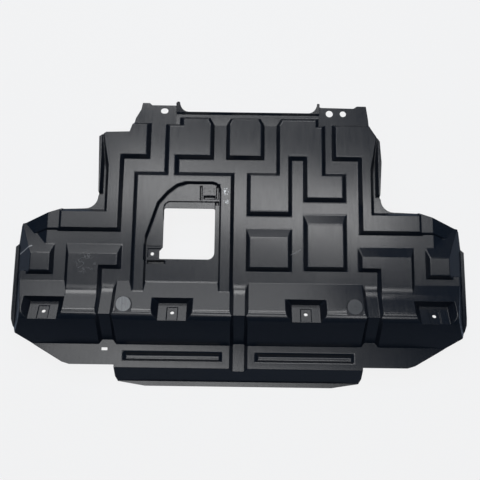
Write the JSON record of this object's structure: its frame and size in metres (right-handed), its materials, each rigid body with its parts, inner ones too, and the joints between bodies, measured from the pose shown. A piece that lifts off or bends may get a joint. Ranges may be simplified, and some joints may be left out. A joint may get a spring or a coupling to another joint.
{
  "type": "sump guard",
  "caption": "Moulded plastic engine undertray with raised panels, front ramp and flange, bolt pads, rear bolt tabs and a service opening.",
  "frame": {"origin": "upper face of the middle channel's floor, on the centre line between the wings", "axes": "+X to the picture's right, across the car; +Y to the rear edge with the bolt tabs; +Z out of the face with the raised panels"},
  "size_m": [1.056, 0.6665, 0.114],
  "materials": {
    "moulded_plastic": "satin"
  },
  "bodies": {
    "root": {"guard_sheet": "moulded_plastic"}
  },
  "joints": []
}
